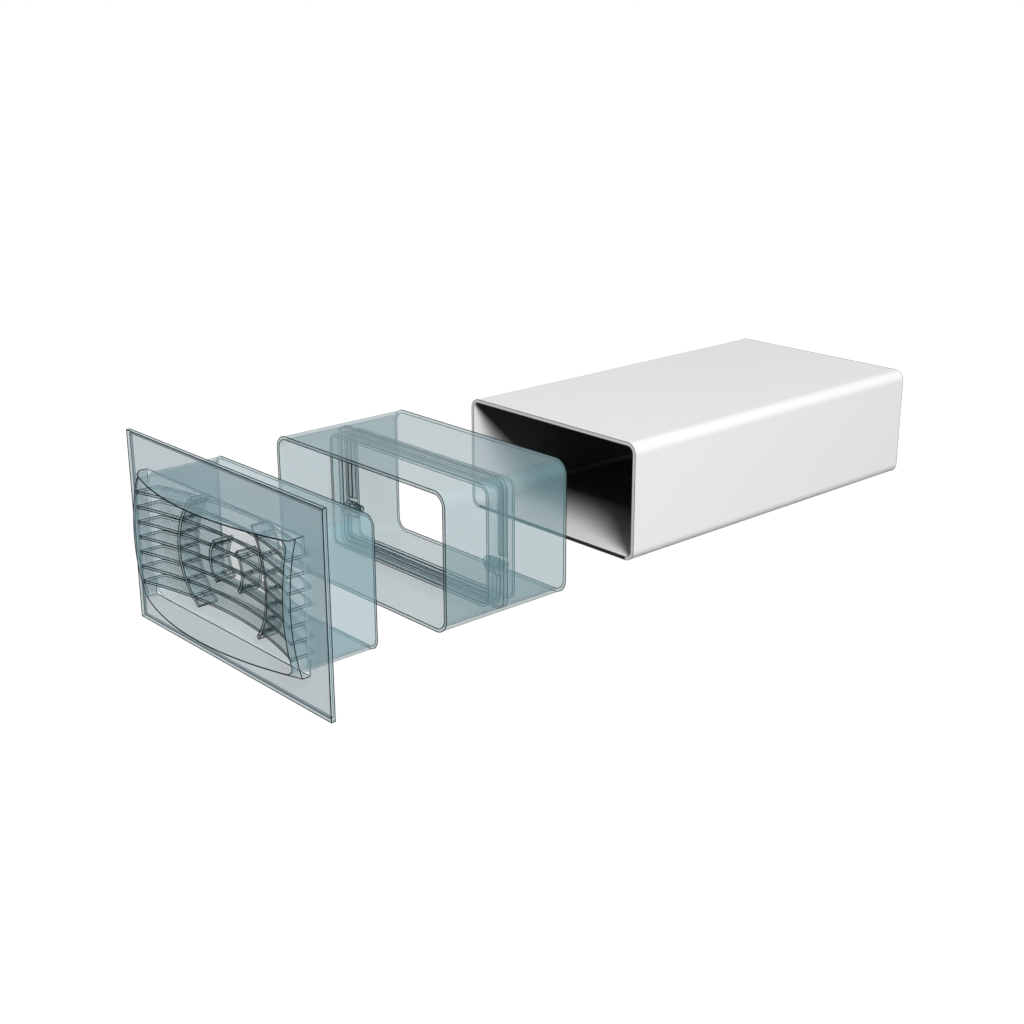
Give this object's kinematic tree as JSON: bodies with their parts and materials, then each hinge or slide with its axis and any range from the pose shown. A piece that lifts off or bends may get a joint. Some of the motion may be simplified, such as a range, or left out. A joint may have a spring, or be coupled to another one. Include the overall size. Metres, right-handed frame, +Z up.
{
  "type": "flat-duct ventilation outlet with louvred grille and non-return flap",
  "caption": "Flat-duct wall vent drawn apart: dished-louvre grille with a spigot, connector sleeve with a sprung non-return flap, and a length of rectangular duct.",
  "frame": {"origin": "centre of the connector sleeve's front rim, in the plane of the wall's face", "axes": "+X across the width to the right as seen from the room, +Y from the room into the wall along the duct, +Z up"},
  "size_m": [0.14, 0.3909, 0.084],
  "materials": {
    "grille_plastic": "glossy, translucent grey-blue",
    "connector_plastic": "glossy, translucent grey-blue",
    "damper_plastic": "glossy, translucent grey-blue",
    "pivot_plastic": "glossy, translucent grey-blue",
    "spring_steel": "drawn wire",
    "clear_sheet": "glossy, clear",
    "duct_plastic": "glossy white"
  },
  "bodies": {
    "connector": {"connector_sleeve": "connector_plastic", "damper_frame": "damper_plastic", "upper_stop_rail": "damper_plastic", "lower_stop_rail": "damper_plastic", "pivot_bush_left": "pivot_plastic", "pivot_bush_right": "pivot_plastic", "return_spring_left": "spring_steel", "return_spring_right": "spring_steel"},
    "grille": {"face_plate": "grille_plastic", "louvre_surround": "grille_plastic", "grille_spigot": "grille_plastic", "louvre_slat_1": "grille_plastic", "louvre_slat_2": "grille_plastic", "louvre_slat_3": "grille_plastic", "louvre_slat_4": "grille_plastic", "louvre_slat_5": "grille_plastic", "louvre_slat_6": "grille_plastic", "louvre_slat_7": "grille_plastic", "outer_ring_left": "grille_plastic", "outer_ring_right": "grille_plastic", "inner_ring_left": "grille_plastic", "inner_ring_right": "grille_plastic"},
    "flap": {"damper_flap": "clear_sheet", "pivot_pin_left": "pivot_plastic", "pivot_pin_right": "pivot_plastic"},
    "duct": {"flat_duct": "duct_plastic"}
  },
  "joints": [
    {"name": "grille_slide", "type": "slide", "parent": "connector", "child": "grille", "axis": [0, 1, 0], "range_m": [0, 0.0641]},
    {"name": "duct_slide", "type": "slide", "parent": "connector", "child": "duct", "axis": [0, -1, 0], "range_m": [0, 0.0704]},
    {"name": "flap_hinge", "type": "hinge", "parent": "connector", "child": "flap", "pos_m": [0, 0.03385, -0.0098], "axis": [1, 0, 0], "range_deg": [0, 38], "stiffness_Nm_per_rad": 0.002, "springref_deg": -20.05}
  ]
}
